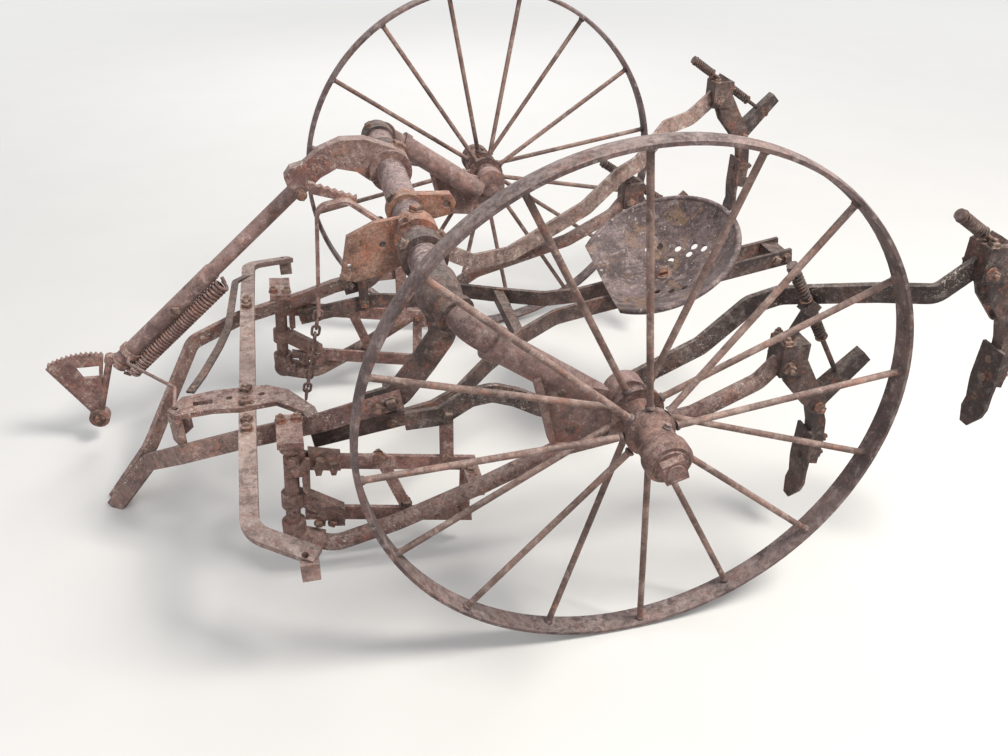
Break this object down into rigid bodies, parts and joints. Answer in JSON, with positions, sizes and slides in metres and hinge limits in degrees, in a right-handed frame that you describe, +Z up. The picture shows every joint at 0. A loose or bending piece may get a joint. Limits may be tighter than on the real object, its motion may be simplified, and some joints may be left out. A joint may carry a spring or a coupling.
{
  "type": "horse-drawn riding row cultivator",
  "caption": "Old iron riding cultivator for row crops: arch axle on two spoked wheels, bent bar frame resting on its nose, pressed seat, and two gangs of spring-trip shovels, all rusted.",
  "frame": {"origin": "on the ground under the middle of the machine's whole length", "axes": "+X to the rear, +Y to the driver's right, +Z up; the wheel axis lies at x = 0.172 m"},
  "size_m": [2.1751, 1.6826, 1.066],
  "materials": {
    "rusted_bar": "rolled iron bar, rusted purplish brown",
    "rusted_casting": "cast iron, rusted orange brown",
    "sooty_iron": "dark rusted iron with pale flecks",
    "wheel_iron": "rolled wheel iron, rusted brown",
    "seat_steel": "pressed steel, worn dark paint over rust"
  },
  "bodies": {
    "frame": {"arch_tube": "rusted_bar", "front_bow": "rusted_bar", "tongue_bracket": "rusted_casting", "lift_plate": "rusted_casting", "lift_arm": "rusted_casting", "link_lug": "rusted_casting", "guard_hoop": "rusted_bar", "stop_comb": "sooty_iron", "lift_tube": "rusted_bar", "lift_spring": "rusted_bar", "tube_clevis": "rusted_casting", "toothed_sector": "rusted_bar", "sector_rod": "rusted_bar", "lift_chain": "sooty_iron", "seat_pan": "seat_steel", "seat_bars": "sooty_iron", "seat_cross": "rusted_bar", "seat_post": "rusted_bar", "draft_strap": "rusted_bar", "arch_elbow_left": "rusted_casting", "crank_pipe_left": "rusted_bar", "axle_end_left": "rusted_casting", "axle_nut_left": "rusted_bar", "frame_bar_left": "rusted_bar", "riser_left": "rusted_bar", "gang_pin_left": "rusted_bar", "arch_elbow_right": "rusted_casting", "crank_pipe_right": "rusted_bar", "axle_end_right": "rusted_casting", "axle_nut_right": "rusted_bar", "frame_bar_right": "rusted_bar", "riser_right": "rusted_bar", "gang_pin_right": "rusted_bar"},
    "wheel_left": {"wheel_rim_left": "wheel_iron", "wheel_spokes_left": "wheel_iron", "wheel_hub_left": "wheel_iron"},
    "coupling_left": {"gang_coupling_left": "rusted_casting"},
    "gang_left": {"gang_head_left": "rusted_casting", "gang_links_left": "sooty_iron", "gang_pipe_left": "sooty_iron", "gang_beam_left": "sooty_iron", "trip_clamps_left": "sooty_iron", "trip_rods_left": "sooty_iron", "trip_springs_left": "sooty_iron", "shanks_left": "sooty_iron", "shovels_left": "sooty_iron"},
    "wheel_right": {"wheel_rim_right": "wheel_iron", "wheel_spokes_right": "wheel_iron", "wheel_hub_right": "wheel_iron"},
    "coupling_right": {"gang_coupling_right": "rusted_casting"},
    "gang_right": {"gang_head_right": "rusted_casting", "gang_links_right": "sooty_iron", "gang_pipe_right": "sooty_iron", "gang_beam_right": "sooty_iron", "trip_clamps_right": "sooty_iron", "trip_rods_right": "sooty_iron", "trip_springs_right": "sooty_iron", "shanks_right": "sooty_iron", "shovels_right": "sooty_iron"}
  },
  "joints": [
    {"name": "wheel_spin_left", "type": "hinge", "parent": "frame", "child": "wheel_left", "pos_m": [0.1716, -0.6815, 0.533], "axis": [0, 1, 0], "continuous": true},
    {"name": "gang_swing_left", "type": "hinge", "parent": "frame", "child": "coupling_left", "pos_m": [-0.4744, -0.365, 0.346], "axis": [0.0872, 0, 0.9962], "range_deg": [-4, 4]},
    {"name": "gang_lift_left", "type": "hinge", "parent": "coupling_left", "child": "gang_left", "pos_m": [-0.47588, -0.365, 0.32906], "axis": [0, -1, 0], "range_deg": [-6, 10]},
    {"name": "wheel_spin_right", "type": "hinge", "parent": "frame", "child": "wheel_right", "pos_m": [0.1716, 0.6815, 0.533], "axis": [0, 1, 0], "continuous": true},
    {"name": "gang_swing_right", "type": "hinge", "parent": "frame", "child": "coupling_right", "pos_m": [-0.4744, 0.365, 0.346], "axis": [0.0872, 0, 0.9962], "range_deg": [-4, 4]},
    {"name": "gang_lift_right", "type": "hinge", "parent": "coupling_right", "child": "gang_right", "pos_m": [-0.47588, 0.365, 0.32906], "axis": [0, -1, 0], "range_deg": [-6, 10]}
  ]
}
